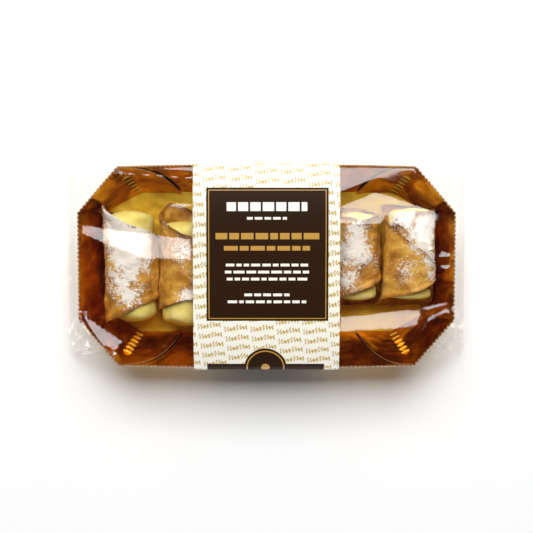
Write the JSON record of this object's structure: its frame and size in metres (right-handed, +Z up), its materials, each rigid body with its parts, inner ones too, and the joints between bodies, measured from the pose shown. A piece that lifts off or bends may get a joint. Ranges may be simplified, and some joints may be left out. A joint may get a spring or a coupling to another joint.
{
  "type": "cannoli pack",
  "caption": "Sealed clear film pack of cream-filled, sugar-dusted cannoli side by side in a gold card tray with cut corners, with a printed card band round its middle.",
  "frame": {"origin": "middle of the underside, on the plane that the pack rests on", "axes": "+X along the pack's length, +Y along the cannoli and across the pack, +Z up"},
  "size_m": [0.225, 0.1138, 0.0399],
  "materials": {
    "filled_bag": "clear glossy film over fried pastry, icing sugar and gold card",
    "card_band": "semi-matt printed card"
  },
  "bodies": {
    "root": {"filled_bag": "filled_bag", "card_band": "card_band"}
  },
  "joints": []
}
